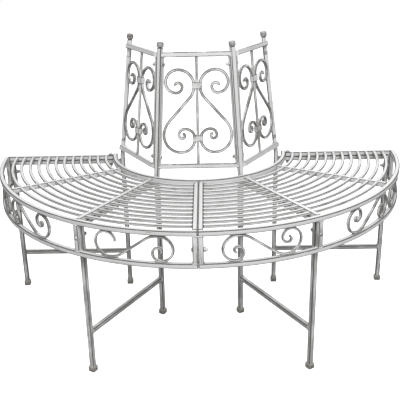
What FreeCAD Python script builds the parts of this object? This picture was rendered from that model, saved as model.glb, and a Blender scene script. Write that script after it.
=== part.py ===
import FreeCAD, Part
import math
import os
from FreeCAD import Vector

os.makedirs("parts", exist_ok=True)

# A half-round metal bench that stands against a tree trunk.
# Millimetres and degrees. The working origin is the trunk's axis on the ground, +Z up.
# Ring angles start at the left back end (0), pass the front seam (90)
# and end at the right back end (180). Everything is shifted at the end so that
# the origin is the middle of the bench's own footprint.

# Seat
seat_radius = 600.0
seat_height = 445.0
tree_radius = 252.0
tube = 13.0
seam_gap = 0.5
inner_rim_rise = 4.5
slat_count = 12
slat_width = 9.5
slat_thickness = 6.3
slat_inner_gap = 16.7
slat_outer_gap = 20.3
bar_angles = (30.0, 60.0)

# Apron under the front edge
apron_clear_height = 71.0
apron_scroll_thickness = 6.0
apron_scroll_depth = 8.0
apron_scroll_angles = (19.0, 41.0, 74.8)
apron_scroll_rises = (1, -1, 1)
apron_diagonal_angle = 36.0
apron_diagonal_bend = 57.5
apron_curl_shares = (0.54, 0.46, 0.31, 0.23, 0.125, 0.09)
apron_hook_shares = (0.54, 0.46, 0.36)

# Legs
frame_angles = (0.0, 60.0, 120.0, 180.0)
post_setback = 15.5
stretcher_height = 119.0
foot_width = 19.0
foot_height = 16.0
foot_sole = 3.0
foot_rounding = 2.5

# Leaning posts of the backrest
back_height = 360.0
post_lean_reach = 43.0
finial_diameter = 19.0
finial_thickness = 16.0
finial_rounding = 5.0

# Backrest panels
bottom_rail_rise = 26.5
top_rail_drop = 26.5
side_panel_outset = 6.5
stile_thickness = 5.0
stile_depth = 11.0
rod_diameter = 8.0
scroll_thickness = 8.0
scroll_depth = 8.0
scroll_clearance = 0.45
upper_collar_share = 0.694
lower_collar_share = 0.288
collar_height = 17.0
collar_wall = 2.0
scroll_upper_bend = 52.0
scroll_lower_bend = 59.0
upper_curl_shares = (0.558, 0.442, 0.37, 0.21, 0.147, 0.10)
lower_curl_shares = (0.548, 0.452, 0.316, 0.205, 0.108, 0.086, 0.07)
tongue_length = 22.0
tongue_thickness = 4.0

# Fasteners
bolt_diameter = 6.0
bolt_clearance = 0.3
hex_width = 10.0
hex_height = 5.0
dome_height = 6.0
button_diameter = 11.0
button_height = 3.0
sink_diameter = 11.0
sink_depth = 3.0
dome_head_diameter = 14.0
dome_head_height = 5.5
spacer_diameter = 12.0
spacer_length = 3.0
leg_bolt_drop = 48.5
upper_bolt_drop = 52.0
lower_bolt_rise = 54.0
back_bolt_inset = 8.5

# Sizes that follow from the ones above
seat_underside = seat_height - tube
rim_inside = seat_radius - tube
rim_middle = seat_radius - tube / 2
inner_rim_outside = tree_radius + tube
inner_rim_top = seat_height + inner_rim_rise
leg_radius = rim_inside - spacer_length - tube / 2
post_radius = tree_radius - post_setback
post_lean_radius = post_radius - post_lean_reach
finial_height = seat_height + back_height
bottom_rail_height = seat_height + bottom_rail_rise
top_rail_height = finial_height - top_rail_drop
upper_collar_height = seat_height + upper_collar_share * back_height
lower_collar_height = seat_height + lower_collar_share * back_height
upper_bolt_height = finial_height - upper_bolt_drop
lower_bolt_height = seat_height + lower_bolt_rise
low_rim_top = seat_underside - apron_clear_height
low_rim_bottom = low_rim_top - tube
frame_rail_bottom = seat_underside - tube
leg_bolt_height = seat_height - leg_bolt_drop
lean = math.atan2(post_lean_reach, back_height)
post_length = (back_height - finial_thickness / 2) / math.cos(lean)
back_reach = (max(foot_width, finial_diameter) - tube) / 2
tree_axis_y = (seat_radius - back_reach) / 2
bore_radius = bolt_diameter / 2 + bolt_clearance
far = 3 * seat_radius
up = Vector(0, 0, 1)


def unit_radial(angle):
    """Direction away from the trunk at a ring angle."""
    a = math.radians(angle)
    return Vector(-math.cos(a), -math.sin(a), 0)


def unit_round(angle):
    """Level direction along the ring, toward larger angles."""
    a = math.radians(angle)
    return Vector(math.sin(a), -math.cos(a), 0)


def frame_offset(angle):
    """The two end frames sit just inside the flat back edge."""
    if angle == 0.0:
        return tube / 2
    if angle == 180.0:
        return -tube / 2
    return 0.0


def placed(shape, origin, along_x, along_y):
    """Move a shape from its own axes to the given ones."""
    along_z = along_x.cross(along_y)
    matrix = FreeCAD.Matrix(
        along_x.x, along_y.x, along_z.x, origin.x,
        along_x.y, along_y.y, along_z.y, origin.y,
        along_x.z, along_y.z, along_z.z, origin.z,
        0, 0, 0, 1)
    moved = shape.copy()
    moved.Placement = FreeCAD.Placement(matrix).multiply(moved.Placement)
    return moved


def box(x0, x1, y0, y1, z0, z1):
    """Block between two corners."""
    return Part.makeBox(x1 - x0, y1 - y0, z1 - z0, Vector(x0, y0, z0))


def radial_box(angle, r0, r1, t0, t1, z0, z1):
    """Block laid out from the trunk: radius, distance along the ring, height."""
    block = box(r0, r1, t0, t1, z0, z1)
    return placed(block, Vector(0, 0, 0), unit_radial(angle), unit_round(angle))


def band(r0, r1, z0, z1):
    """Full flat ring around the trunk's axis."""
    outer = Part.makeCylinder(r1, z1 - z0, Vector(0, 0, z0))
    inner = Part.makeCylinder(r0, z1 - z0, Vector(0, 0, z0))
    return outer.cut(inner)


def left_quarter(shape, back=0.0, seam=seam_gap / 2):
    """Keep the part of a ring that lies in the left module."""
    return shape.common(box(-far, -seam, -far, -back, -far, far))


def between_rims(shape):
    """Trim a radial bar to the space between the inner and outer rims."""
    return shape.common(band(inner_rim_outside, rim_inside, -far, far))


def mirrored(shape):
    """The same piece on the right-hand side."""
    return shape.mirror(Vector(0, 0, 0), Vector(1, 0, 0))


def bore(point, direction, radius, reach):
    """Cylinder centred on a point, for drilling through pieces."""
    start = point - direction * reach
    return Part.makeCylinder(radius, 2 * reach, start, direction)


# Seat rims, bars and slats of the left module

def rim(r0, z0, z1):
    """Quarter ring of tube between two heights."""
    return left_quarter(band(r0, r0 + tube, z0, z1))


def back_bar():
    """Full-height bar along the flat back edge."""
    raw = radial_box(0, 0, far, 0, tube, seat_underside, seat_height)
    bar = between_rims(raw)
    return bar.cut(bore(back_bolt_point(), up, bore_radius, far))


def seam_bar():
    """Full-height bar along the front seam."""
    near = -seam_gap / 2
    raw = radial_box(90, 0, far, near - tube, near, seat_underside, seat_height)
    bar = between_rims(raw)
    return bar.cut(bore(seam_bar_bolt_point(), Vector(1, 0, 0), bore_radius, 2 * tube))


def slat_bar(angle):
    """Radial bar that divides the slats, its top level with theirs."""
    raw = radial_box(angle, 0, far, -tube / 2, tube / 2, seat_underside, seat_height)
    return between_rims(raw)


def slats(bars):
    """Curved flat bars, each in lengths that butt against the radial bars."""
    first = inner_rim_outside + slat_inner_gap
    last = rim_inside - slat_outer_gap - slat_width
    pitch = (last - first) / (slat_count - 1)
    solids = []
    for number in range(slat_count):
        inner = first + number * pitch
        ring = band(inner, inner + slat_width, seat_height - slat_thickness, seat_height)
        slat = left_quarter(ring, tube, seam_gap / 2 + tube)
        for bar in bars:
            slat = slat.cut(bar)
        solids += slat.Solids
    return solids


# Apron

def apron_post(angle, t0, t1):
    """Short upright between the lower rim and the outer rim."""
    raw = radial_box(angle, 0, far, t0, t1, low_rim_top, seat_underside)
    return raw.common(band(rim_inside, seat_radius, -far, far))


def bolted_apron_post(angle):
    """Apron upright in front of a leg, drilled and sunk for the flat-headed bolt."""
    offset = frame_offset(angle)
    post = apron_post(angle, offset - tube / 2, offset + tube / 2)
    return post.cut(leg_bolt_hole(angle))


def seam_apron_post():
    """Apron upright beside the front seam."""
    near = -seam_gap / 2
    post = apron_post(90, near - tube, near)
    return post.cut(bore(seam_post_bolt_point(), Vector(1, 0, 0), bore_radius, 2 * tube))


def walk(start, heading, steps):
    """Follow bends and straights. A step is (radius, turn) or (length, 0)."""
    path = []
    point = start
    for size, turn in steps:
        direction = Vector(math.cos(heading), math.sin(heading), 0)
        if turn == 0:
            end = point + direction * size
            path.append((point, end, None, 0, heading, heading))
        else:
            side = 1 if turn > 0 else -1
            left = Vector(-direction.y, direction.x, 0) * side
            centre = point + left * size
            new_heading = heading + math.radians(turn)
            spoke = Vector(math.sin(new_heading), -math.cos(new_heading), 0) * side
            end = centre + spoke * size
            path.append((point, end, centre, side, heading, new_heading))
            heading = new_heading
        point = end
    return path


def side_edge(step, shift):
    """One side of a flat strip along one step of its path."""
    start, end, centre, side, first, last = step
    normal_first = Vector(-math.sin(first), math.cos(first), 0)
    normal_last = Vector(-math.sin(last), math.cos(last), 0)
    a = start + normal_first * shift
    b = end + normal_last * shift
    if centre is None:
        return Part.makeLine(a, b)
    middle = (first + last) / 2
    spoke = Vector(math.sin(middle), -math.cos(middle), 0) * side
    size = (start - centre).Length
    through = centre + spoke * (size - side * shift)
    return Part.Arc(a, through, b).toShape()


def strip(start, heading, steps, thickness):
    """Flat face of a bent strip whose middle line follows the steps."""
    path = walk(start, heading, steps)
    half = thickness / 2
    one = [side_edge(step, half) for step in path]
    other = [side_edge(step, -half) for step in path]
    first_cap = Part.makeLine(other[0].Vertexes[0].Point, one[0].Vertexes[0].Point)
    last_cap = Part.makeLine(one[-1].Vertexes[-1].Point, other[-1].Vertexes[-1].Point)
    edges = one + [last_cap] + other + [first_cap]
    wire = Part.Wire(Part.__sortEdges__(edges))
    return Part.Face(wire)


def quarter_turns(radii, way):
    """A curl: quarter bends of falling radius."""
    return [(radius, way * 90.0) for radius in radii]


def apron_scroll(angle, rises, near_seam, near_back):
    """S-shaped strip between the rims, bent to the ring's curve, with two given curls."""
    rise = apron_clear_height - apron_scroll_thickness
    bend = math.radians(apron_diagonal_angle)
    straight = (rise - 2 * apron_diagonal_bend * (1 - math.cos(bend))) / math.sin(bend)
    halves = []
    for shares in (near_seam, near_back):
        curl = quarter_turns([share * rise for share in shares], -1)
        rising = [(straight / 2, 0), (apron_diagonal_bend, -apron_diagonal_angle)] + curl
        halves.append(strip(Vector(0, 0, 0), bend, rising, apron_scroll_thickness))
    halves[1].rotate(Vector(0, 0, 0), up, 180)
    flat = halves[0].fuse(halves[1]).removeSplitter()
    if rises < 0:
        flat = flat.mirror(Vector(0, 0, 0), Vector(1, 0, 0))
    solid = flat.extrude(Vector(0, 0, far))
    middle_height = (low_rim_top + seat_underside) / 2
    upright = placed(solid, Vector(0, 0, middle_height), unit_round(angle), up)
    curved = band(rim_middle - apron_scroll_depth / 2, rim_middle + apron_scroll_depth / 2,
                  low_rim_top, seat_underside)
    return upright.common(curved)


# Leg frames

def upright_leg(angle):
    """Outer leg, a straight square tube."""
    t = frame_offset(angle)
    half = tube / 2
    leg = radial_box(angle, leg_radius - half, leg_radius + half, t - half, t + half,
                     foot_sole, seat_underside)
    return leg.cut(leg_bolt_hole(angle))


def frame_rail(angle, z0):
    """Level tube between the inner and outer leg."""
    t = frame_offset(angle)
    half = tube / 2
    rail = radial_box(angle, post_radius + half, leg_radius - half, t - half, t + half,
                      z0, z0 + tube)
    if angle in (0.0, 180.0) and z0 == frame_rail_bottom:
        point = back_bolt_point()
        if angle == 180.0:
            point = Vector(-point.x, point.y, point.z)
        rail = rail.cut(bore(point, up, bore_radius, far))
    return rail


def post_axes(angle):
    """Origin and directions of the leaning part of a post, from the seat up."""
    origin = unit_radial(angle) * post_radius
    origin += unit_round(angle) * frame_offset(angle)
    origin += up * seat_height
    along = up * math.cos(lean) - unit_radial(angle) * math.sin(lean)
    outward = unit_radial(angle) * math.cos(lean) + up * math.sin(lean)
    return origin, outward, unit_round(angle), along


def in_post_axes(shape, angle):
    """Place a shape drawn as (outward, along the ring, up the lean)."""
    origin, outward, sideways, along = post_axes(angle)
    return placed(shape, origin, outward, sideways)


def tall_post(angle):
    """Inner leg that goes on up and leans in toward the trunk."""
    half = tube / 2
    slide = half * math.tan(lean / 2)
    top = post_length
    out_top = Vector(post_radius + half * math.cos(lean) - top * math.sin(lean), 0,
                     seat_height + half * math.sin(lean) + top * math.cos(lean))
    in_top = Vector(post_radius - half * math.cos(lean) - top * math.sin(lean), 0,
                    seat_height - half * math.sin(lean) + top * math.cos(lean))
    outline = [Vector(post_radius - half, 0, foot_sole),
               Vector(post_radius + half, 0, foot_sole),
               Vector(post_radius + half, 0, seat_height - slide),
               out_top,
               in_top,
               Vector(post_radius - half, 0, seat_height + slide)]
    face = Part.Face(Part.makePolygon(outline + outline[:1]))
    face.translate(Vector(0, frame_offset(angle) - half, 0))
    post = face.extrude(Vector(0, tube, 0))
    post = placed(post, Vector(0, 0, 0), unit_radial(angle), unit_round(angle))
    for height in (upper_bolt_height, lower_bolt_height):
        point = post_bolt_point(angle, height)
        post = post.cut(bore(point, unit_round(angle), bore_radius, 3 * tube))
    return post


def foot(angle, radius):
    """Rounded cap under a leg, with the tube let into it."""
    half = foot_width / 2
    block = box(-half, half, -half, half, 0, foot_height)
    block = block.makeFillet(foot_rounding, block.Edges)
    pocket = box(-tube / 2, tube / 2, -tube / 2, tube / 2, foot_sole, foot_height)
    cap = block.cut(pocket)
    origin = unit_radial(angle) * radius + unit_round(angle) * frame_offset(angle)
    return placed(cap, origin, unit_radial(angle), unit_round(angle))


def finial(angle):
    """Flattened ball on the top end of a post."""
    radius = finial_diameter / 2
    drum = Part.makeCylinder(radius, finial_thickness)
    drum = drum.makeFillet(finial_rounding, [drum.Edges[0], drum.Edges[2]])
    drum.translate(Vector(0, 0, post_length))
    return in_post_axes(drum, angle)


# Backrest panels

class Panel:
    """Directions and clear width of the panel between two neighbouring posts."""

    def __init__(self, angle):
        self.angles = (angle, angle + 60.0)
        self.end_angle = {0.0: 0.0, 120.0: 180.0}.get(angle)
        low = [post_axes(a)[0] for a in self.angles]
        high = [post_axes(a)[0] + post_axes(a)[3] * post_length for a in self.angles]
        self.origin = (low[0] + low[1]) * 0.5
        across = low[1] - low[0]
        rise = (high[0] + high[1]) * 0.5 - self.origin
        self.along = rise.normalize()
        across.z = 0
        self.across = across.normalize()
        self.inward = self.along.cross(self.across)
        if self.end_angle is not None:
            self.origin -= self.inward * side_panel_outset

    def put(self, shape):
        """Place a shape drawn as (across, toward the trunk, up the lean)."""
        return placed(shape, self.origin, self.across, self.inward)

    def level(self, height):
        """Distance up the lean at which the panel reaches a height."""
        return (height - seat_height) / self.along.z

    def clear_half(self, level):
        """Least distance from the middle rod's axis to a stile, across the scrolls' depth."""
        reach = []
        for angle, way in zip(self.angles, (1, -1)):
            origin, outward, sideways, along = post_axes(angle)
            face = origin + along * level + sideways * (way * (tube / 2 + stile_thickness))
            corner = face - outward * (stile_depth / 2)
            depth = min(scroll_depth / 2, (corner - self.origin).dot(self.inward))
            back = self.origin + self.along * level + self.inward * depth
            reach.append(abs((face - back).dot(sideways) / self.across.dot(sideways)))
        return min(reach)

    def beyond_posts(self):
        """Space taken by the two posts, all that lies outside them, and all in front."""
        half = tube / 2
        first = box(-far, far, -far, half, -far, far)
        second = box(-far, far, -half, far, -far, far)
        spaces = [in_post_axes(first, self.angles[0]), in_post_axes(second, self.angles[1])]
        for angle in self.angles:
            front = tongue_length / 2 if angle == self.end_angle else half
            spaces.append(in_post_axes(box(front, far, -far, far, -far, far), angle))
        return spaces


def panel_rail(panel, height):
    """Square tube from post to post, lapped over the end post where there is one."""
    level = panel.level(height)
    half = tube / 2
    rail = panel.put(box(-post_radius, post_radius, -half, half, level - half, level + half))
    for beyond in panel.beyond_posts():
        rail = rail.cut(beyond)
    if panel.end_angle is not None:
        rail = rail.fuse(rail_tongue(panel.end_angle, height)).removeSplitter()
    return rail


def panel_stiles(panel):
    """Flat bars bolted to the posts' side faces, between the two rails."""
    low = panel.level(bottom_rail_height) + tube / 2
    high = panel.level(top_rail_height) - tube / 2
    slab = panel.put(box(-far, far, -far, far, low, high))
    half_depth = stile_depth / 2
    stiles = []
    for angle, way in zip(panel.angles, (1, -1)):
        near = way * tube / 2
        outer = way * (tube / 2 + stile_thickness)
        raw = box(-half_depth, half_depth, min(near, outer), max(near, outer), 0, post_length)
        stile = in_post_axes(raw, angle).common(slab)
        for height in (upper_bolt_height, lower_bolt_height):
            point = post_bolt_point(angle, height)
            stile = stile.cut(bore(point, unit_round(angle), bore_radius, 3 * tube))
        stiles.append(stile)
    return stiles


def panel_rod(panel):
    """Round upright in the middle of a panel."""
    low = panel.level(bottom_rail_height) + tube / 2
    high = panel.level(top_rail_height) - tube / 2
    return panel.put(Part.makeCylinder(rod_diameter / 2, high - low, Vector(0, 0, low)))


def scroll_sizes(panel):
    """Meeting levels on the rod, widths of the two loops, and the slope between them."""
    upper = panel.level(upper_collar_height)
    lower = panel.level(lower_collar_height)
    start_x = rod_diameter / 2 + scroll_thickness / 2
    edge = scroll_thickness / 2 + scroll_clearance
    widths = []
    for level, shares in ((upper, upper_curl_shares), (lower, lower_curl_shares)):
        widest = level + (shares[0] - shares[1]) * panel.clear_half(level)
        widths.append(panel.clear_half(widest) - edge - start_x)
    upper_width, lower_width = widths
    drop = upper - lower - (lower_curl_shares[0] - lower_curl_shares[1]) * lower_width
    bends = scroll_upper_bend + scroll_lower_bend
    beyond = lower_width - bends
    straight = math.sqrt(beyond ** 2 + drop ** 2 - bends ** 2)
    slope = math.degrees(math.atan2(bends, straight) + math.atan2(beyond, drop))
    return upper, lower, upper_width, lower_width, straight, slope


def panel_scroll(panel):
    """Big S-shaped strip on the right of the middle rod, as a flat face."""
    upper, lower, upper_width, lower_width, straight, slope = scroll_sizes(panel)
    upper_curl = quarter_turns([share * upper_width for share in upper_curl_shares], -1)
    lower_curl = quarter_turns([share * lower_width for share in lower_curl_shares], -1)
    down = [(scroll_upper_bend, slope), (straight, 0), (scroll_lower_bend, -slope)]
    start = Vector(rod_diameter / 2 + scroll_thickness / 2, upper, 0)
    rising = strip(start, math.pi / 2, upper_curl, scroll_thickness)
    falling = strip(start, -math.pi / 2, down + lower_curl, scroll_thickness)
    return rising.fuse(falling).removeSplitter()


def panel_scrolls(panel):
    """The two mirrored S-shaped strips of a panel."""
    flat = panel_scroll(panel)
    solid = flat.extrude(Vector(0, 0, scroll_depth))
    upright = placed(solid, Vector(0, scroll_depth / 2, 0), Vector(1, 0, 0), up)
    return [panel.put(mirrored(upright)), panel.put(upright)]


def panel_collars(panel, rod, scrolls):
    """Straps wrapped around the rod and both scrolls where they meet."""
    half_width = rod_diameter / 2 + scroll_thickness + collar_wall
    half_depth = scroll_depth / 2 + collar_wall
    half_height = collar_height / 2
    collars = []
    upper, lower = scroll_sizes(panel)[:2]
    for level in (upper, lower):
        block = box(-half_width, half_width, -half_depth, half_depth,
                    level - half_height, level + half_height)
        strap = panel.put(block).cut(rod)
        for scroll in scrolls:
            strap = strap.cut(scroll)
        collars.append(strap)
    return collars


def rail_tongue(angle, height):
    """Flattened end of a side panel's rail, lapped over the end post."""
    way = 1 if angle == 0.0 else -1
    origin, outward, sideways, along = post_axes(angle)
    level = (height - seat_height) / along.z
    near = way * tube / 2
    outer = way * (tube / 2 + tongue_thickness)
    half = tongue_length / 2
    tongue = box(-half, half, min(near, outer), max(near, outer),
                 level - tube / 2, level + tube / 2)
    return in_post_axes(tongue, angle)


# Fasteners

def leg_bolt_point(angle):
    """Where the bolt through an apron upright and a leg meets the front face."""
    return (unit_radial(angle) * seat_radius + unit_round(angle) * frame_offset(angle)
            + up * leg_bolt_height)


def back_bolt_point():
    """Middle of the back bar near its inner end."""
    return Vector(-inner_rim_outside - back_bolt_inset, -tube / 2, seat_height)


def seam_bar_bolt_point():
    """Where a cross bolt passes the seam, between the inner rim and the first slat."""
    return Vector(0, -inner_rim_outside - slat_inner_gap / 2, seat_height - tube / 2)


def seam_post_bolt_point():
    """Where a cross bolt passes the seam between the apron uprights."""
    return Vector(0, -rim_middle, leg_bolt_height)


def post_bolt_point(angle, height):
    """Middle of a leaning post at a height."""
    origin, outward, sideways, along = post_axes(angle)
    return origin + along * ((height - seat_height) / along.z)


def hexagon(height):
    """Six-sided prism with its flats hex_width apart."""
    corner = hex_width / math.sqrt(3)
    points = [Vector(corner * math.cos(math.radians(60 * n)),
                     corner * math.sin(math.radians(60 * n)), 0) for n in range(7)]
    return Part.Face(Part.makePolygon(points)).extrude(Vector(0, 0, height))


def cap_nut():
    """Hexagon nut with a closed dome, standing on its flat face."""
    radius = hex_width / 2 - bolt_clearance
    stem = Part.makeCylinder(radius, dome_height, Vector(0, 0, hex_height))
    stem = stem.makeFillet(radius * 0.9, [edge for edge in stem.Edges
                                          if edge.BoundBox.ZMin > hex_height + bolt_clearance])
    return hexagon(hex_height).fuse(stem).removeSplitter()


def round_head(diameter, height):
    """Domed round head, standing on its flat face."""
    head = Part.makeCylinder(diameter / 2, height)
    top = [edge for edge in head.Edges if edge.BoundBox.ZMin > height - bolt_clearance]
    return head.makeFillet(height * 0.8, top)


def aimed(shape, point, direction):
    """Place a shape drawn along +Z at a point, pointing along a direction."""
    helper = up if abs(direction.z) < 0.9 else Vector(1, 0, 0)
    across = helper.cross(direction).normalize()
    return placed(shape, point, across, direction.cross(across))


def through_bolt(head_face, nut_face, diameter=button_diameter, height=button_height):
    """Round-headed bolt between two faces, with a cap nut on the far one."""
    direction = nut_face - head_face
    length = direction.Length
    direction.normalize()
    shank = aimed(Part.makeCylinder(bolt_diameter / 2, length), head_face, direction)
    head = aimed(round_head(diameter, height), head_face, direction * -1)
    nut = aimed(cap_nut(), nut_face, direction)
    return shank.fuse(head).removeSplitter(), nut


def leg_bolt_hole(angle):
    """Drilled hole with a cone for the flat head, from the front face inward."""
    point = leg_bolt_point(angle)
    inward = unit_radial(angle) * -1
    hole = Part.makeCylinder(bore_radius, seat_radius - leg_radius + 2 * tube, point, inward)
    cone = Part.makeCone(sink_diameter / 2, bore_radius, sink_depth, point, inward)
    return hole.fuse(cone)


def leg_bolt(angle):
    """Flat-headed bolt, its spacer and its cap nut."""
    point = leg_bolt_point(angle)
    inward = unit_radial(angle) * -1
    leg_inside = leg_radius - tube / 2
    shank = Part.makeCylinder(bolt_diameter / 2, seat_radius - leg_inside, point, inward)
    head = Part.makeCone(sink_diameter / 2, bolt_diameter / 2, sink_depth, point, inward)
    bolt = shank.fuse(head).removeSplitter().common(band(0, seat_radius, -far, far))
    nut = aimed(cap_nut(), point + inward * (seat_radius - leg_inside), inward)
    start = point + inward * (tube - spacer_length)
    spacer = Part.makeCylinder(spacer_diameter / 2, 2 * spacer_length, start, inward)
    spacer = spacer.cut(bore(start, inward, bore_radius, far))
    spacer = spacer.common(band(0, rim_inside, -far, far))
    return bolt, nut, spacer


def post_bolts(angle):
    """Cross bolts through a post and the stiles beside it."""
    bolts = []
    nuts = []
    sideways = unit_round(angle)
    half = tube / 2
    for height in (upper_bolt_height, lower_bolt_height):
        point = post_bolt_point(angle, height)
        if angle in (0.0, 180.0):
            way = 1 if angle == 0.0 else -1
            face = point + sideways * (way * (half + stile_thickness))
            shank = Part.makeCylinder(bolt_diameter / 2, stile_thickness + tube, face,
                                      sideways * -way)
            head = aimed(round_head(button_diameter, button_height), face, sideways * way)
            bolts.append(shank.fuse(head).removeSplitter())
        else:
            reach = half + stile_thickness
            bolt, nut = through_bolt(point + sideways * reach, point - sideways * reach)
            bolts.append(bolt)
            nuts.append(nut)
    return bolts, nuts


def seam_bolts():
    """Cross bolts that hold the two seat modules together at the front seam."""
    reach = Vector(seam_gap / 2 + tube, 0, 0)
    pairs = [through_bolt(point - reach, point + reach)
             for point in (seam_bar_bolt_point(), seam_post_bolt_point())]
    return [pair[0] for pair in pairs], [pair[1] for pair in pairs]


def back_bolts():
    """Upright bolts through the back bars and the leg frames, domed heads on top."""
    bolts = []
    nuts = []
    for way in (-1, 1):
        top = back_bolt_point()
        top.x = abs(top.x) * way
        bottom = top - up * (2 * tube)
        bolt, nut = through_bolt(top, bottom, dome_head_diameter, dome_head_height)
        bolts.append(bolt)
        nuts.append(nut)
    return bolts, nuts


# Write every sub-part

def save(name, solids):
    """Shift to the bench's own origin and write one sub-part."""
    if not isinstance(solids, list):
        solids = [solids]
    pieces = []
    for solid in solids:
        for piece in solid.Solids:
            moved = piece.copy()
            moved.translate(Vector(0, tree_axis_y, 0))
            pieces.append(moved)
    shape = pieces[0] if len(pieces) == 1 else Part.makeCompound(pieces)
    shape.exportStep("parts/" + name + ".step")
    print(name, len(pieces), "solid(s)", round(shape.Volume / 1000, 1), "cm3")


def both_sides(name, solids):
    """Write a piece of the left half and its mirror image."""
    if not isinstance(solids, list):
        solids = [solids]
    save(name + "_left", solids)
    save(name + "_right", [mirrored(solid) for solid in solids])


def write_seat():
    bars = [slat_bar(angle) for angle in bar_angles]
    both_sides("seat_outer_rim", rim(rim_inside, seat_underside, seat_height))
    both_sides("seat_inner_rim", rim(tree_radius, seat_underside, inner_rim_top))
    both_sides("apron_lower_rim", rim(rim_inside, low_rim_bottom, low_rim_top))
    both_sides("seat_back_bar", back_bar())
    both_sides("seat_seam_bar", seam_bar())
    both_sides("seat_slats", slats(bars))
    both_sides("slat_bars", bars)
    both_sides("apron_posts", [bolted_apron_post(0.0), bolted_apron_post(60.0),
                               seam_apron_post()])
    full = apron_curl_shares
    for number, (angle, rises) in enumerate(zip(apron_scroll_angles, apron_scroll_rises), 1):
        scroll = apron_scroll(angle, rises, full, full)
        hooked = apron_scroll(angle, rises, full, apron_hook_shares)
        is_hooked = angle == apron_scroll_angles[-1]
        save("apron_scroll_%d_left" % number, hooked if is_hooked else scroll)
        save("apron_scroll_%d_right" % number, mirrored(scroll))


def write_legs():
    feet = []
    for number, angle in enumerate(frame_angles, 1):
        save("tall_post_%d" % number, tall_post(angle))
        save("outer_leg_%d" % number, upright_leg(angle))
        save("frame_rail_%d" % number, frame_rail(angle, frame_rail_bottom))
        save("stretcher_%d" % number, frame_rail(angle, stretcher_height - tube / 2))
        feet += [foot(angle, leg_radius), foot(angle, post_radius)]
    save("feet", feet)
    save("finials", [finial(angle) for angle in frame_angles])


def write_panels():
    collars = []
    for name, angle in (("left", 0.0), ("centre", 60.0), ("right", 120.0)):
        panel = Panel(angle)
        rails = [panel_rail(panel, bottom_rail_height), panel_rail(panel, top_rail_height)]
        stiles = panel_stiles(panel)
        for stile in stiles:
            rails = [rail.cut(stile) for rail in rails]
        rod = panel_rod(panel)
        scrolls = panel_scrolls(panel)
        save("panel_%s_bottom_rail" % name, rails[0])
        save("panel_%s_top_rail" % name, rails[1])
        save("panel_%s_stiles" % name, stiles)
        save("panel_%s_rod" % name, rod)
        save("panel_%s_scrolls" % name, scrolls)
        collars += panel_collars(panel, rod, scrolls)
    save("panel_collars", collars)


def write_fasteners():
    bolts = []
    nuts = []
    spacers = []
    for angle in frame_angles:
        bolt, nut, spacer = leg_bolt(angle)
        bolts.append(bolt)
        nuts.append(nut)
        spacers.append(spacer)
        more_bolts, more_nuts = post_bolts(angle)
        bolts += more_bolts
        nuts += more_nuts
    for more_bolts, more_nuts in (seam_bolts(), back_bolts()):
        bolts += more_bolts
        nuts += more_nuts
    save("bolts", bolts)
    save("cap_nuts", nuts)
    save("bolt_spacers", spacers)


write_seat()
write_legs()
write_panels()
write_fasteners()
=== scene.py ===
# %% [markdown]
# # A half-round tree bench in worn white paint
#
# The bench is made of two quarter-circle seats of welded steel, four leg frames
# that carry them, and three scrollwork panels that lean in toward the trunk.
# Every part of the model already has its size and place from the construction
# drawing, so this lesson is about what the eye sees on top of that: rounded tube
# corners, weld beads, and a white paint that is brushed thinly over a dark grey
# primer and then rubbed through along the edges.
#
# Lengths are metres. +Z is up, the sitter faces -Y, and the origin is the middle
# of the bench's footprint on the ground.

# %% Load the frame
import bpy
import math
from mathutils import Matrix, Vector


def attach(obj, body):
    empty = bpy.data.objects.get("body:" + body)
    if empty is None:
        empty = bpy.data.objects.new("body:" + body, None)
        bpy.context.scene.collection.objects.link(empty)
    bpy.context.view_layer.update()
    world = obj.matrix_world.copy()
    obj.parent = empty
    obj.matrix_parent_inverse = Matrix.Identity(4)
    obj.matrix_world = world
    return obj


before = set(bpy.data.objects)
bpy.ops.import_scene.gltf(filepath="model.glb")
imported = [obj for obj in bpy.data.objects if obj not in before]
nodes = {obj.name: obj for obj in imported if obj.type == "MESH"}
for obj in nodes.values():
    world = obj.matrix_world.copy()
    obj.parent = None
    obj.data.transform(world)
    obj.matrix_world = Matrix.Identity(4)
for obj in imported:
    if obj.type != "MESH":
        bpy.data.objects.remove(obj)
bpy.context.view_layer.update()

print("pieces in the frame:", len(nodes))

# %% [markdown]
# ## The camera first
#
# A picture can only be compared with its photograph when both are taken from the
# same place. The bench was seen from a little above the backrest, almost straight
# in front, with the camera tipped down by about 21 degrees and rolled by one.
# The direction is worked out from these three angles, and the picture's right and
# up directions follow by cross products. That is easier to check than a row of
# Euler angles.

# %% Set the camera
CAMERA_PLACE = Vector((0.027, -1.8087, 1.116))
CAMERA_TURN = math.radians(-0.75)
CAMERA_TILT = math.radians(-21.452)
CAMERA_ROLL = math.radians(-1.225)
SENSOR = 36.0
PICTURE_SIDE = 400
FOCAL_PIXELS = 712.914

ahead = Vector((math.sin(CAMERA_TURN) * math.cos(CAMERA_TILT),
                math.cos(CAMERA_TURN) * math.cos(CAMERA_TILT),
                math.sin(CAMERA_TILT)))
level_right = Vector((math.cos(CAMERA_TURN), -math.sin(CAMERA_TURN), 0.0))
level_up = level_right.cross(ahead)
right = math.cos(CAMERA_ROLL) * level_right + math.sin(CAMERA_ROLL) * level_up
above = -math.sin(CAMERA_ROLL) * level_right + math.cos(CAMERA_ROLL) * level_up

camera = bpy.data.objects.new("camera", bpy.data.cameras.new("camera"))
camera.data.sensor_width = SENSOR
camera.data.lens = SENSOR * FOCAL_PIXELS / PICTURE_SIDE
camera.matrix_world = Matrix.Translation(CAMERA_PLACE) @ Matrix((
    (right.x, above.x, -ahead.x, 0.0),
    (right.y, above.y, -ahead.y, 0.0),
    (right.z, above.z, -ahead.z, 0.0),
    (0.0, 0.0, 0.0, 1.0)))
bpy.context.scene.collection.objects.link(camera)
bpy.context.scene.camera = camera
print("lens in millimetres:", round(camera.data.lens, 2))

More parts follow.
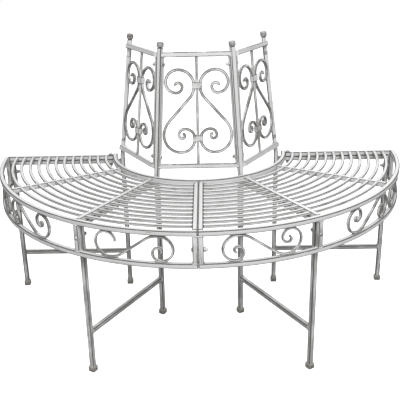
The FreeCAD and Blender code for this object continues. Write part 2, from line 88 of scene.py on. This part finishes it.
# %% [markdown]
# ## Small helpers for materials
#
# Colours are written as the hex values that a paint chart or a picture editor
# shows. Blender's shaders work with linear light, so one function turns a hex
# value to linear.
#
# A shader is a net of nodes. One function adds a node of any kind: its settings
# are given by name, and each input is either a value or another node's output,
# which is then linked.

# %% Colour and node helpers
def linear(hex_value):
    """A written colour such as #E6E6E6 as linear red, green, blue, alpha."""
    parts = [int(hex_value[n:n + 2], 16) / 255 for n in (1, 3, 5)]
    light = [p / 12.92 if p <= 0.04045 else ((p + 0.055) / 1.055) ** 2.4 for p in parts]
    return (*light, 1.0)


def add(tree, kind, inputs=None, **settings):
    """Add one node with its settings and links."""
    node = tree.nodes.new(kind)
    for name, value in settings.items():
        setattr(node, name, value)
    for key, value in (inputs or {}).items():
        if isinstance(value, bpy.types.NodeSocket):
            tree.links.new(value, node.inputs[key])
        else:
            node.inputs[key].default_value = value
    return node


print("the paint's white as linear light:", [round(c, 3) for c in linear("#E6E6E6")[:3]])

# %% [markdown]
# Five kinds of node do nearly all the work in these paints: a sum, a ramp, a mix of
# two colours, a noise and a scaled place. Each gets a short name of its own, so that
# a recipe below reads like a recipe. So does the empty material that they go in.

# %% Short names for the usual nodes
def plus(tree, base, share, value):
    """base + share * value."""
    return add(tree, "ShaderNodeMath", {0: value, 1: share, 2: base},
               operation="MULTIPLY_ADD").outputs[0]


def ramp(tree, value, start, stop, first, last, kind="LINEAR"):
    """Goes from first to last while the value goes from start to stop."""
    return add(tree, "ShaderNodeMapRange", {
        "Value": value, "From Min": start, "From Max": stop,
        "To Min": first, "To Max": last}, interpolation_type=kind).outputs[0]


def mix(tree, share, first, second):
    """A colour between two colours."""
    return add(tree, "ShaderNodeMix", {0: share, 6: first, 7: second},
               data_type="RGBA").outputs[2]


def noise(tree, vector, scale, detail, roughness=0.5):
    """A cloudy value from 0 to 1."""
    return add(tree, "ShaderNodeTexNoise", {
        "Vector": vector, "Scale": scale, "Detail": detail,
        "Roughness": roughness}).outputs["Fac"]


def scaled(tree, vector, scale):
    """A vector with each of its parts multiplied."""
    return add(tree, "ShaderNodeVectorMath", {0: vector, 1: scale},
               operation="MULTIPLY").outputs[0]


def empty_material(name):
    """A new material and its cleared node tree."""
    material = bpy.data.materials.new(name)
    material.use_nodes = True
    material.node_tree.nodes.clear()
    return material, material.node_tree


print("short names for nodes:", ", ".join(
    helper.__name__ for helper in (plus, ramp, mix, noise, scaled, empty_material)))

# %% [markdown]
# ## The finish: brushed white paint over a dark primer
#
# The real bench is mild steel with a factory-aged finish. A dark grey primer is sprayed on, a
# white alkyd paint is brushed over it so thinly that the strokes stay visible, and the corners
# are rubbed back to the primer. To the eye that gives three things: soft grey streaks along each
# tube, a darker line on every corner, and a few bare specks. The darker line on the corners is
# partly that rubbed-back primer and partly painted shade.
#
# All of it can be drawn from the place of a point on the bench, so no picture is
# needed. Three noises do it. One is stretched along the piece, like brush hairs:
# 3 mm across and 60 mm long. One is a cloud of 50 mm patches where the paint is
# thicker or thinner. One is a grit of about 2 mm for chips.
#
# The streaks have to follow the piece. On a rim or a slat they run round the
# trunk, and on a bar that points at the trunk they run outward, so the place is
# first turned into a distance from the trunk's axis and an angle round it.

# %% Which way the brush went
STREAK_WIDTH = 0.003
STREAK_LENGTH = 0.060
PATCH_SIZE = 0.050
CHIP_SIZE = 0.0022
TRUNK_AXIS_Y = 0.2985
RING_RADIUS = 0.45


def from_trunk(tree, place):
    """The level way from the trunk's axis to a point."""
    away = add(tree, "ShaderNodeVectorMath", {0: place, 1: (0.0, TRUNK_AXIS_Y, 0.0)},
               operation="SUBTRACT").outputs[0]
    return scaled(tree, away, (1.0, 1.0, 0.0))


def streak_space(tree, place, lay):
    """Coordinates in streak widths, stretched along the way the piece runs."""
    across, along = 1 / STREAK_WIDTH, 1 / STREAK_LENGTH
    if lay == "upright":
        return scaled(tree, place, (across, across, along))
    if lay == "even":
        return scaled(tree, place, (2 * along, 2 * along, 2 * along))
    away = from_trunk(tree, place)
    level = add(tree, "ShaderNodeSeparateXYZ", {0: away})
    angle = add(tree, "ShaderNodeMath", {
        0: level.outputs["X"], 1: plus(tree, 0.0, -1.0, level.outputs["Y"])},
        operation="ARCTAN2").outputs[0]
    radius = add(tree, "ShaderNodeVectorMath", {0: away}, operation="LENGTH").outputs["Value"]
    height = add(tree, "ShaderNodeSeparateXYZ", {0: place}).outputs["Z"]
    ring = add(tree, "ShaderNodeCombineXYZ", {"X": radius, "Y": angle, "Z": height}).outputs[0]
    if lay == "round":
        return scaled(tree, ring, (across, RING_RADIUS * along, across))
    return scaled(tree, ring, (along, RING_RADIUS * across, across))


print("streaks across one 13 mm tube:", round(0.013 / STREAK_WIDTH, 1))

# %% [markdown]
# Faces that look up or away from the trunk keep the full white, and the flanks, undersides and
# backs are greyed. That grey is painted shade, standing in for the light that falls less on those
# faces. The dot product of the surface's own direction with one that points up and outward says
# which is which. It belongs to the bench and not to the camera, so the painted shade holds from
# every side.

# %% Which way a face looks
LIFT = 0.8
FRONT = 0.6


# Painted shade: the white coat below greys the faces to which this measure gives low values.
def facing(tree, place):
    """About 1 where a face looks up or outward, 0 on the flanks, below 0 behind."""
    away = add(tree, "ShaderNodeVectorMath", {0: from_trunk(tree, place)},
               operation="NORMALIZE").outputs[0]
    lifted = add(tree, "ShaderNodeVectorMath", {0: away, 1: (0.0, -FRONT, LIFT)},
                 operation="ADD").outputs[0]
    looks = add(tree, "ShaderNodeTexCoord").outputs["Normal"]
    return add(tree, "ShaderNodeVectorMath", {0: looks, 1: lifted},
               operation="DOT_PRODUCT").outputs["Value"]


print("a level top counts", LIFT, "and an upright face in front counts", 1 + FRONT)

# %% [markdown]
# The white coat isn't one white. Where it is thick it hides the primer, and where it is thin the
# primer greys it. The greyness is a sum: mostly strokes, partly patches, a little painted shade
# on faces that look back or down, and a little more below a height that each paint is given,
# which makes the legs greyer than the seat. Where the sum passes a limit, the wash turns from
# white to grey.

# %% The white coat, thick and thin
WHITE = "#E6E6E6"
THIN_WHITE = "#A3A2A0"
STROKES_IN_COAT = 0.65
PATCHES_IN_COAT = 0.35
# Greyer below the seat: how much the legs and rails are greyed.
GREYER_BELOW_SEAT = 0.17
# Painted shade on faces that look back or down.
PAINTED_SHADE_BEHIND = 0.12
LEG_FADE = (-0.03, 0.02)
BEHIND_FADE = (-0.1, 0.55)
WASH_LIMIT = 0.66
WASH_REACH = 0.3
WASH_BLUR = 0.16


def white_coat(tree, place, strokes, patches, thin, greyer_below):
    """The colour of the white paint, from full white to a grey wash, with painted shade on faces
    that look back or down.
    """
    greyness = plus(tree, 0.0, STROKES_IN_COAT, strokes)
    greyness = plus(tree, greyness, PATCHES_IN_COAT, patches)
    if greyer_below is not None:
        # Below the given height the coat turns greyer.
        height = add(tree, "ShaderNodeSeparateXYZ", {0: place}).outputs["Z"]
        legs = ramp(tree, height, greyer_below + LEG_FADE[0], greyer_below + LEG_FADE[1],
                    GREYER_BELOW_SEAT, 0.0, "SMOOTHSTEP")
        greyness = plus(tree, greyness, 1.0, legs)
    # Painted shade: faces that look back or down get a greyer coat.
    behind = ramp(tree, facing(tree, place), *BEHIND_FADE, PAINTED_SHADE_BEHIND, 0.0, "SMOOTHSTEP")
    greyness = plus(tree, greyness, 1.0, behind)
    limit = WASH_LIMIT - WASH_REACH * thin
    wash = ramp(tree, greyness, limit, limit + WASH_BLUR, 0.0, 1.0, "SMOOTHSTEP")
    return mix(tree, wash, linear(WHITE), linear(THIN_WHITE))


print("the wash starts where the thinness passes", round(WASH_LIMIT - WASH_REACH * 0.35, 3))

# %% [markdown]
# Wear takes the white off altogether. Chips and strokes decide where, so the bare spots are
# ragged and a little drawn out. On the corners a cloth or a scouring pad has gone along the very
# crest, and there `crest`, a number that the rounding step below gives each point, adds to the
# wear in the middle of the corner and takes from it at the sides. That keeps the dark line on a
# corner, partly wear and partly painted shade, thin and broken.

# %% Where the white is gone
CHIPS_IN_WEAR = 0.55
STROKES_IN_WEAR = 0.45
CREST_RANGE = (0.55, 0.95)
LESS_BESIDE = 0.35
MORE_ON_CREST = 0.65
WEAR_LIMIT = 0.72
WEAR_REACH = 0.36
WEAR_BLUR = 0.05


def bare_spots(tree, strokes, chips, bare, rubbed):
    """1 where the primer shows, 0 where the white still holds."""
    wear = plus(tree, 0.0, CHIPS_IN_WEAR, chips)
    wear = plus(tree, wear, STROKES_IN_WEAR, strokes)
    if rubbed:
        crest = add(tree, "ShaderNodeAttribute", attribute_name="crest").outputs["Fac"]
        hand = ramp(tree, crest, *CREST_RANGE, -LESS_BESIDE * rubbed, MORE_ON_CREST * rubbed)
        wear = plus(tree, wear, 1.0, hand)
    limit = WEAR_LIMIT - WEAR_REACH * bare
    return ramp(tree, wear, limit, limit + WEAR_BLUR, 0.0, 1.0)


print("wear shows past", round(WEAR_LIMIT - WEAR_REACH * 0.1, 3), "on the tubes and past",
      round(WEAR_LIMIT - WEAR_REACH * 0.9, 3), "on their corners")

# %% [markdown]
# The paint itself is one function, because every piece has the same coats. What
# changes is which way the brush went, how much primer is bare and how thin the
# white is. Paint has an index of refraction near 1.5 and isn't metallic. A satin
# alkyd has a roughness near 0.45 and a sprayed primer one near 0.75, so the bare
# spots also look duller. A bump map raises the strokes and drops the film where it
# is gone, by 0.3 mm at half strength. Real paint has less relief than that, but it
# wouldn't show from two metres away.

# %% The paint
PRIMER = "#454341"
PALE_PRIMER = "#7A7775"
BROWN_PRIMER = "#5C4E46"
SATIN = 0.45
CHALKY = 0.75
PAINT_IOR = 1.5
FILM_DROP = 0.6
FILM_STRENGTH = 0.5
FILM_THICKNESS = 0.0003


def aged_paint(name, lay, bare=0.1, thin=0.35, greyer_below=None, rubbed=0.0,
               primer=PRIMER):
    """White alkyd paint brushed over primer. bare, thin and rubbed are shares from 0 to 1."""
    material, tree = empty_material(name)
    place = add(tree, "ShaderNodeTexCoord").outputs["Object"]
    strokes = noise(tree, streak_space(tree, place, lay), 1.0, detail=3.0, roughness=0.6)
    patches = noise(tree, place, 1 / PATCH_SIZE, detail=2.0)
    chips = noise(tree, place, 1 / CHIP_SIZE, detail=2.0)

    white = white_coat(tree, place, strokes, patches, thin, greyer_below)
    gone = bare_spots(tree, strokes, chips, bare, rubbed)
    ground = mix(tree, patches, linear(primer), linear(PALE_PRIMER))
    film = plus(tree, strokes, -FILM_DROP, gone)
    bump = add(tree, "ShaderNodeBump", {
        "Height": film, "Strength": FILM_STRENGTH, "Distance": FILM_THICKNESS})
    shader = add(tree, "ShaderNodeBsdfPrincipled", {
        "Base Color": mix(tree, gone, white, ground),
        "Roughness": ramp(tree, gone, 0.0, 1.0, SATIN, CHALKY),
        "IOR": PAINT_IOR, "Metallic": 0.0, "Normal": bump.outputs[0]})
    add(tree, "ShaderNodeOutputMaterial", {"Surface": shader.outputs[0]})
    return material


print("a corner's primer as linear light:", [round(c, 3) for c in linear(PRIMER)[:3]])

# %% [markdown]
# Each kind of piece has its own recipe. Rims and slats are brushed round the trunk,
# seat bars and rails outward, posts and legs up and down. Scrolls, balls and bolts
# are awkward to brush, so they were dabbed, and the streaks are left out. The thin
# round pieces lost the most white, and the balls on the posts are worn through to
# an older brown primer.

# %% A recipe for each kind of piece
SEAT_TOP = 0.445
paints = {
    "round": aged_paint("alkyd paint brushed along the rims", "round"),
    "radial": aged_paint("alkyd paint brushed along the seat bars", "radial"),
    "upright": aged_paint("alkyd paint brushed along the uprights", "upright",
                          thin=0.28, greyer_below=SEAT_TOP - 0.03),
    "rails": aged_paint("alkyd paint brushed along the leg rails", "radial",
                        greyer_below=SEAT_TOP - 0.01),
    "slats": aged_paint("alkyd paint brushed along the slats", "round", bare=0.15, thin=0.5),
    "scrolls": aged_paint("alkyd paint dabbed on the scrolls", "even", bare=0.3, thin=0.75),
    # Corners: a dark line, partly rubbed-back primer and partly painted shade.
    "edges": aged_paint("alkyd paint rubbed back on corners with painted shade", "even", bare=0.9, thin=0.9,
                        rubbed=0.22),
    "rods": aged_paint("alkyd paint brushed along the round rods", "upright", bare=0.4, thin=0.9),
    "balls": aged_paint("alkyd paint worn through to brown primer", "even", bare=0.5, thin=1.0,
                        primer=BROWN_PRIMER),
    "fasteners": aged_paint("alkyd paint on steel bolts", "even", bare=0.5, thin=0.9),
    "welds": aged_paint("alkyd paint over weld beads", "even", bare=0.55, thin=0.8),
}
print("paints mixed:", len(paints))

# %% [markdown]
# ## Rounding the corners
#
# The construction pieces have knife-sharp corners. Real square tube is bent from sheet, so its
# corners have a radius near one and a half times the wall, about 1.8 mm here. Flat bar is rolled,
# with a radius near 1 mm. A corner that catches light is what makes metal look like metal, so
# each piece gets a bevel, a little wider than that radius because the dark corner paint, partly
# rubbed-back primer and partly painted shade, runs just past the curve too.
#
# A bevel on every sharp edge would go wrong: it can be no wider than its shortest
# edge allows, and the rim of a bolt hole is made of half-millimetre edges. So only
# the long sharp edges are marked, and the bevel keeps to the marks. The marks come
# from a small geometry nodes group, because it runs as a modifier and leaves the
# piece's own mesh alone.

# %% Mark the long corners
SHARP = math.radians(40)


def new_group(name):
    """An empty geometry nodes group with one shape in and one out, and the incoming shape."""
    group = bpy.data.node_groups.new(name, "GeometryNodeTree")
    for way in ("INPUT", "OUTPUT"):
        group.interface.new_socket("Geometry", in_out=way, socket_type="NodeSocketGeometry")
    return group, add(group, "NodeGroupInput").outputs[0]


def store(group, shape, name, value, domain):
    """Write a number onto each point, edge or face."""
    return add(group, "GeometryNodeStoreNamedAttribute",
               {"Geometry": shape, "Name": name, "Value": value},
               data_type="FLOAT", domain=domain).outputs[0]


def corner_finder(shortest):
    """Marks each sharp edge longer than the given length for the bevel."""
    group, shape = new_group("mark the long corners")
    ends = add(group, "GeometryNodeInputMeshEdgeVertices")
    length = add(group, "ShaderNodeVectorMath",
                 {0: ends.outputs["Position 1"], 1: ends.outputs["Position 2"]},
                 operation="DISTANCE").outputs["Value"]
    turn = add(group, "GeometryNodeInputMeshEdgeAngle").outputs["Unsigned Angle"]
    long = add(group, "ShaderNodeMath", {0: length, 1: shortest},
               operation="GREATER_THAN").outputs[0]
    sharp = add(group, "ShaderNodeMath", {0: turn, 1: SHARP}, operation="GREATER_THAN").outputs[0]
    both = add(group, "ShaderNodeMath", {0: long, 1: sharp}, operation="MULTIPLY").outputs[0]
    add(group, "NodeGroupOutput", {0: store(group, shape, "bevel_weight_edge", both, "EDGE")})
    return group


SHORTEST_CORNER = 0.0009
SHORTEST_COLLAR_SIDE = 0.007
SHORTEST_RAIL_LENGTH = 0.015
find_corners = corner_finder(SHORTEST_CORNER)
find_sides = corner_finder(SHORTEST_COLLAR_SIDE)
find_lengths = corner_finder(SHORTEST_RAIL_LENGTH)
print("shortest edges rounded, in millimetres:", 1000 * SHORTEST_CORNER, "on most pieces,",
      1000 * SHORTEST_COLLAR_SIDE, "on collars,", 1000 * SHORTEST_RAIL_LENGTH, "on rails")

# %% [markdown]
# The bevel's own faces take a second material, the rubbed-back paint, which also paints shade
# along the corners. On its own that would give a stripe with two straight borders, which no hand
# can rub. So a second group spreads each face's material number to its points: the number is 1
# along the crest of a corner and falls off at its borders, and the paint reads it as `crest`.

# %% Mark the crests
def crest_marker():
    """Tells the paint how near a point is to the crest of a round corner."""
    group, shape = new_group("mark the crests")
    number = add(group, "GeometryNodeInputMaterialIndex").outputs[0]
    faces = store(group, shape, "corner_face", number, "FACE")
    shared = add(group, "GeometryNodeInputNamedAttribute", {"Name": "corner_face"},
                 data_type="FLOAT").outputs[0]
    add(group, "NodeGroupOutput", {0: store(group, faces, "crest", shared, "POINT")})
    return group


mark_crests = crest_marker()
print("groups for the corners:", len(bpy.data.node_groups))

# %% [markdown]
# The pieces come in as loose triangles, so two steps go before the bevel: a weld of
# the doubled points, and a planar dissolve that turns each flat face back into one
# face. The curled scrolls are the exception. Their flat sides would become faces
# with hundreds of corners, which a bevel tears, so they stay in triangles and are
# bevelled by angle. A wider weld closes the slivers that a mitre or a tight curl
# leaves, since those would stop the bevel just as the bolt holes did.

# %% Dress one piece
SAME_POINT = 0.00001
FLAT = math.radians(0.5)
CORNER_STEPS = 3


def dress(name, paint, corner, finder=find_corners, weld=SAME_POINT):
    """Round a frame piece's corners and give it paint, with worn paint and painted shade on the
    corners.
    """
    piece = nodes[name]
    piece.data.materials.clear()
    piece.data.materials.append(paints[paint])
    piece.data.materials.append(paints["edges"])
    piece.modifiers.new("weld", "WELD").merge_threshold = weld
    if finder:
        planar = piece.modifiers.new("planar", "DECIMATE")
        planar.decimate_type = "DISSOLVE"
        planar.angle_limit = FLAT
        piece.modifiers.new("corners", "NODES").node_group = finder
    bevel = piece.modifiers.new("round", "BEVEL")
    bevel.width = corner
    bevel.segments = CORNER_STEPS
    bevel.limit_method = "WEIGHT" if finder else "ANGLE"
    bevel.angle_limit = SHARP
    bevel.use_clamp_overlap = finder == find_corners
    bevel.loop_slide = bool(finder)
    bevel.material = 1
    bevel.harden_normals = True
    piece.modifiers.new("crests", "NODES").node_group = mark_crests


print("steps round a corner:", CORNER_STEPS)

# %% [markdown]
# Now every piece gets its corner and its paint. Square tube has the widest corner,
# flat bar a smaller one. Bolts and nuts are machined, with a corner of half a
# millimetre.

# %% Dress the seat and the apron
TUBE_CORNER = 0.0023
BAR_CORNER = 0.0015
APRON_SCROLL_CORNER = 0.0016
CURL_SLIVER = 0.0011

sides = ("left", "right")
for side in sides:
    for part in ("seat_outer_rim", "seat_inner_rim", "apron_lower_rim"):
        dress(part + "_" + side, "round", TUBE_CORNER)
    for part in ("seat_back_bar", "seat_seam_bar"):
        dress(part + "_" + side, "radial", TUBE_CORNER)
    dress("slat_bars_" + side, "radial", BAR_CORNER)
    dress("seat_slats_" + side, "slats", BAR_CORNER)
    dress("apron_posts_" + side, "upright", BAR_CORNER)
    for number in (1, 2, 3):
        dress("apron_scroll_%d_%s" % (number, side), "scrolls", APRON_SCROLL_CORNER,
              finder=None, weld=CURL_SLIVER)
print("seat and apron pieces dressed:", sum(1 for piece in nodes.values() if piece.modifiers))

# %% Dress the leg frames and the back panels
PANEL_SCROLL_CORNER = 0.0021
COLLAR_CORNER = 0.0009
MITRE_SLIVER = 0.0006

frames = (1, 2, 3, 4)
panels = ("left", "centre", "right")
for number in frames:
    dress("tall_post_%d" % number, "upright", TUBE_CORNER)
    dress("outer_leg_%d" % number, "upright", TUBE_CORNER)
    dress("frame_rail_%d" % number, "rails", TUBE_CORNER)
    dress("stretcher_%d" % number, "rails", TUBE_CORNER)
for panel in panels:
    for part in ("bottom_rail", "top_rail"):
        dress("panel_%s_%s" % (panel, part), "radial", TUBE_CORNER,
              finder=find_lengths, weld=MITRE_SLIVER)
    dress("panel_%s_stiles" % panel, "upright", BAR_CORNER)
    dress("panel_%s_rod" % panel, "rods", BAR_CORNER)
    dress("panel_%s_scrolls" % panel, "scrolls", PANEL_SCROLL_CORNER, finder=None)
dress("panel_collars", "scrolls", COLLAR_CORNER, finder=find_sides)
print("pieces dressed:", sum(1 for piece in nodes.values() if piece.modifiers))

# %% Dress the small parts
SMALL_CORNER = 0.0005

dress("finials", "balls", SMALL_CORNER)
for name in ("bolts", "cap_nuts", "bolt_spacers"):
    dress(name, "fasteners", SMALL_CORNER)
print("pieces dressed:", sum(1 for piece in nodes.values() if piece.modifiers))

# %% [markdown]
# ## The feet: moulded caps
#
# The caps that keep the tube ends off the ground are injection-moulded polyethylene,
# a warm grey that is nearly the colour of the old paint. Moulded plastic has no
# streaks: it has a faint leathery grain of about half a millimetre, which comes
# from the mould, and a broad soft highlight. A voronoi pattern gives the grain, and
# a slow noise gives the dust that gathers low down. Polyethylene has an index of
# refraction near 1.52 and a roughness near 0.4, and dust makes it duller.

# %% Moulded caps
CAP_GREY = "#B2B0A9"
CAP_DUST = "#7E7A74"
GRAIN_SIZE = 0.0006
GRAIN_DEPTH = 0.0001
GRAIN_STRENGTH = 0.25
DUST_CLOUDS_PER_METRE = 140.0
DUST_TOP = 0.022
DUST_AT_GROUND = 0.35
DUST_ABOVE = -0.05
DUST_FADE = (0.45, 0.85)
CAP_SHEEN = 0.36
DUSTY_SHEEN = 0.7
CAP_IOR = 1.52

caps, tree = empty_material("grey moulded polyethylene")
place = add(tree, "ShaderNodeTexCoord").outputs["Object"]
height = add(tree, "ShaderNodeSeparateXYZ", {0: place}).outputs["Z"]
cloud = noise(tree, place, DUST_CLOUDS_PER_METRE, detail=4.0, roughness=0.65)
low = ramp(tree, height, 0.0, DUST_TOP, DUST_AT_GROUND, DUST_ABOVE)
dusty = ramp(tree, plus(tree, low, 1.0, cloud), *DUST_FADE, 0.0, 1.0, "SMOOTHSTEP")
grain = add(tree, "ShaderNodeTexVoronoi", {"Vector": place, "Scale": 1 / GRAIN_SIZE})
dimple = add(tree, "ShaderNodeBump", {
    "Height": grain.outputs["Distance"], "Strength": GRAIN_STRENGTH,
    "Distance": GRAIN_DEPTH})
shader = add(tree, "ShaderNodeBsdfPrincipled", {
    "Base Color": mix(tree, dusty, linear(CAP_GREY), linear(CAP_DUST)),
    "Roughness": ramp(tree, dusty, 0.0, 1.0, CAP_SHEEN, DUSTY_SHEEN),
    "IOR": CAP_IOR, "Metallic": 0.0, "Normal": dimple.outputs[0]})
add(tree, "ShaderNodeOutputMaterial", {"Surface": shader.outputs[0]})

nodes["feet"].data.materials.clear()
nodes["feet"].data.materials.append(caps)
print("grain on one 20 mm cap:", round(0.020 / GRAIN_SIZE), "cells across")

# %% [markdown]
# ## Weld beads
#
# Nothing on this bench is cast. Each leg frame, apron and panel is held by fillet
# welds round the ends of its tubes. A bead is a row of small frozen pools, each a
# little over the last, so along the bead its thickness rises and falls every 2 mm or
# so. That ripple is the detail that tells the eye welded and not moulded.
#
# A bead runs round the end of a tube. The tube's own corner points give the path, so
# no measure is copied from the drawing: take the points near one end, find the four
# that are furthest out, and walk round them.

# %% Find the ends of a tube
import bmesh
import numpy

END_WINDOW = 0.009  # how far back from a tube's tip its end corners can lie


def solids_of(name):
    """The separate solids of a frame piece, each as an array of its points."""
    mesh = bmesh.new()
    mesh.from_mesh(nodes[name].data)
    bmesh.ops.remove_doubles(mesh, verts=mesh.verts, dist=SAME_POINT)
    found, seen = [], set()
    for first in mesh.verts:
        if first in seen:
            continue
        seen.add(first)
        group, waiting = [], [first]
        while waiting:
            vert = waiting.pop()
            group.append(tuple(vert.co))
            for edge in vert.link_edges:
                other = edge.other_vert(vert)
                if other not in seen:
                    seen.add(other)
                    waiting.append(other)
        found.append(numpy.array(group))
    mesh.free()
    return found


def ends_of(points):
    """The four corners at each end of a straight tube, in order round the end."""
    middle = points.mean(axis=0)
    run = numpy.linalg.svd(points - middle)[2][0]
    along = (points - middle) @ run
    for way in (1.0, -1.0):
        near = points[along * way > (along * way).max() - END_WINDOW]
        centre = near.mean(axis=0)
        one = near[numpy.linalg.norm(near - centre, axis=1).argmax()]
        three = near[numpy.linalg.norm(near - one, axis=1).argmax()]
        side = numpy.cross(run, three - one)
        offset = (near - one) @ side
        yield [one, near[offset.argmax()], three, near[offset.argmin()]]


print("solids in the left apron posts:", len(solids_of("apron_posts_left")))

# %% [markdown]
# A welder doesn't turn square corners, so the walk cuts each corner off by 1.6 mm,
# and by less on a tube too thin for that. The steps are half a millimetre, fine
# enough for four of them to show one ripple.

# %% Walk round an end
BEAD_STEP = 0.00045
CORNER_CUT = 0.0016
MOST_OF_A_SIDE = 0.4


def bead_path(corners):
    """Evenly spaced points round an end, with the corners cut as a welder rounds them."""
    outline = []
    for number, here in enumerate(corners):
        for other in (corners[number - 1], corners[(number + 1) % len(corners)]):
            away = other - here
            reach = numpy.linalg.norm(away)
            outline.append(here + away * min(CORNER_CUT / reach, MOST_OF_A_SIDE))
    outline.append(outline[0])
    walk = []
    for start, stop in zip(outline[:-1], outline[1:]):
        count = max(1, round(numpy.linalg.norm(stop - start) / BEAD_STEP))
        walk += [start + (stop - start) * n / count for n in range(count)]
    return walk


first_post_end = next(ends_of(solids_of("apron_posts_left")[0]))
print("steps round the end of one apron post:", len(bead_path(first_post_end)))

# %% [markdown]
# A small ring is swept along the walk, and its radius swells and shrinks with the
# distance travelled: 17 percent more at the top of a ripple, 17 less between two.
# Mesh code does this better than a curve with a bevel, because the radius changes
# from step to step.

# %% Sweep a rippled ring
BEAD_RADIUS = 0.0016
RIPPLE_PITCH = 0.0018
RIPPLE_DEPTH = 0.17
RING_SIDES = 7


def add_bead(mesh, corners):
    """Sweep one closed bead into a bmesh."""
    walk = bead_path(corners)
    centre = sum(walk) / len(walk)
    rings = []
    travelled = 0.0
    for n, point in enumerate(walk):
        after = walk[(n + 1) % len(walk)]
        ahead_of = walk[(n + 2) % len(walk)] - walk[n - 2]
        ahead_of = ahead_of / numpy.linalg.norm(ahead_of)
        out = point - centre
        out = out - ahead_of * (out @ ahead_of)
        out = out / numpy.linalg.norm(out)
        over = numpy.cross(ahead_of, out)
        radius = BEAD_RADIUS * (1 + RIPPLE_DEPTH * math.cos(math.tau * travelled / RIPPLE_PITCH))
        travelled += numpy.linalg.norm(after - point)
        ring = []
        for k in range(RING_SIDES):
            turn = math.tau * k / RING_SIDES
            ring.append(mesh.verts.new(
                point + radius * (math.cos(turn) * out + math.sin(turn) * over)))
        rings.append(ring)
    for n, ring in enumerate(rings):
        following = rings[(n + 1) % len(rings)]
        for k in range(RING_SIDES):
            j = (k + 1) % RING_SIDES
            mesh.faces.new((ring[k], ring[j], following[j], following[k])).smooth = True


print("ripples in one centimetre of bead:", round(0.010 / RIPPLE_PITCH, 1))

# %% [markdown]
# The beads of one assembly are one new piece, since nobody could take them off one by one. The
# new pieces ride on the bench's only body and get the weld paint.

# %% Weld the leg frames, the apron and the panels
def weld_ends(title, names):
    """One new piece that holds the beads at both ends of the named tubes."""
    mesh = bmesh.new()
    count = 0
    for name in names:
        for points in solids_of(name):
            for corners in ends_of(points):
                add_bead(mesh, corners)
                count += 1
    bmesh.ops.recalc_face_normals(mesh, faces=mesh.faces)
    data = bpy.data.meshes.new(title)
    mesh.to_mesh(data)
    mesh.free()
    data.materials.append(paints["welds"])
    beads = bpy.data.objects.new(title, data)
    bpy.context.scene.collection.objects.link(beads)
    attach(beads, "root")
    print(title, "beads:", count, "faces:", len(data.polygons))


weld_ends("leg_frame_welds", ["%s_%d" % (part, number) for part in ("stretcher", "frame_rail")
                              for number in frames])
weld_ends("apron_welds", ["apron_posts_" + side for side in sides])
weld_ends("panel_welds", ["panel_%s_%s" % (panel, part) for panel in panels
                          for part in ("stiles", "rod")])

# %% [markdown]
# ## The floor
#
# The bench stands in a white studio: a pale floor that runs into a white surround,
# so no horizon shows. White paper all round the feet would also throw a strong
# light up under the seat, and there the real bench is grey. So the paper has two
# looks. Camera rays see it white, with a glow that brings it level with the
# surround. All other rays meet a duller paper.

# %% Floor
FLOOR_HALF = 6.0
PAPER_WHITE = "#F2F2F2"
DULL_PAPER = "#B0B0B0"
PAPER_GLOW = 0.9
PURE_WHITE = (1.0, 1.0, 1.0, 1.0)

floor_mesh = bpy.data.meshes.new("floor")
floor_mesh.from_pydata([(-FLOOR_HALF, -FLOOR_HALF, 0.0), (FLOOR_HALF, -FLOOR_HALF, 0.0),
                        (FLOOR_HALF, FLOOR_HALF, 0.0), (-FLOOR_HALF, FLOOR_HALF, 0.0)],
                       [], [(0, 1, 2, 3)])
floor = bpy.data.objects.new("floor", floor_mesh)
bpy.context.scene.collection.objects.link(floor)

paper, tree = empty_material("white studio paper")
seen = add(tree, "ShaderNodeLightPath").outputs["Is Camera Ray"]
matt_paper = add(tree, "ShaderNodeBsdfDiffuse", {"Color": linear(PAPER_WHITE)})
dull_paper = add(tree, "ShaderNodeBsdfDiffuse", {"Color": linear(DULL_PAPER)})
glow = add(tree, "ShaderNodeEmission", {"Color": PURE_WHITE, "Strength": PAPER_GLOW})
lit = add(tree, "ShaderNodeAddShader", {0: matt_paper.outputs[0], 1: glow.outputs[0]})
mixed = add(tree, "ShaderNodeMixShader",
            {0: seen, 1: dull_paper.outputs[0], 2: lit.outputs[0]})
add(tree, "ShaderNodeOutputMaterial", {"Surface": mixed.outputs[0]})
floor_mesh.materials.append(paper)
print("floor side in metres:", 2 * FLOOR_HALF)

# %% [markdown]
# ## The light
#
# The surround lights the bench softly from all sides. A wide lamp above and in
# front makes the tops brighter than the sides, and a weaker one above and behind
# keeps the back of the bench from going dark. Both are 1.6 m squares, so their
# shadows have soft borders. The camera and the reflections see the surround white,
# while as a lamp it counts for only 0.4.

# %% Surround
SOFT_LIGHT = 0.4

world = bpy.data.worlds.new("studio")
bpy.context.scene.world = world
world.use_nodes = True
tree = world.node_tree
tree.nodes.clear()
rays = add(tree, "ShaderNodeLightPath")
shown = add(tree, "ShaderNodeMath",
            {0: rays.outputs["Is Camera Ray"], 1: rays.outputs["Is Glossy Ray"]},
            operation="MAXIMUM").outputs[0]
surround = add(tree, "ShaderNodeBackground", {
    "Color": PURE_WHITE, "Strength": ramp(tree, shown, 0.0, 1.0, SOFT_LIGHT, 1.0)})
add(tree, "ShaderNodeOutputWorld", {"Surface": surround.outputs[0]})
print("the surround as a lamp:", SOFT_LIGHT)

# %% Soft boxes
BOX_SIDE = 1.6
BENCH_MIDDLE = (0.0, 0.0, 0.4)


def soft_box(name, place, watts):
    """A square lamp that faces the middle of the bench."""
    lamp = bpy.data.lights.new(name, "AREA")
    lamp.shape = "SQUARE"
    lamp.size = BOX_SIDE
    lamp.energy = watts
    thing = bpy.data.objects.new(name, lamp)
    thing.location = place
    aim = Vector(BENCH_MIDDLE) - Vector(place)
    thing.rotation_euler = aim.to_track_quat("-Z", "Y").to_euler()
    bpy.context.scene.collection.objects.link(thing)


soft_box("front soft box", place=(0.3, -2.2, 2.9), watts=75.0)
soft_box("back soft box", place=(0.6, 2.4, 2.6), watts=28.0)
bpy.context.scene.view_settings.view_transform = "Standard"
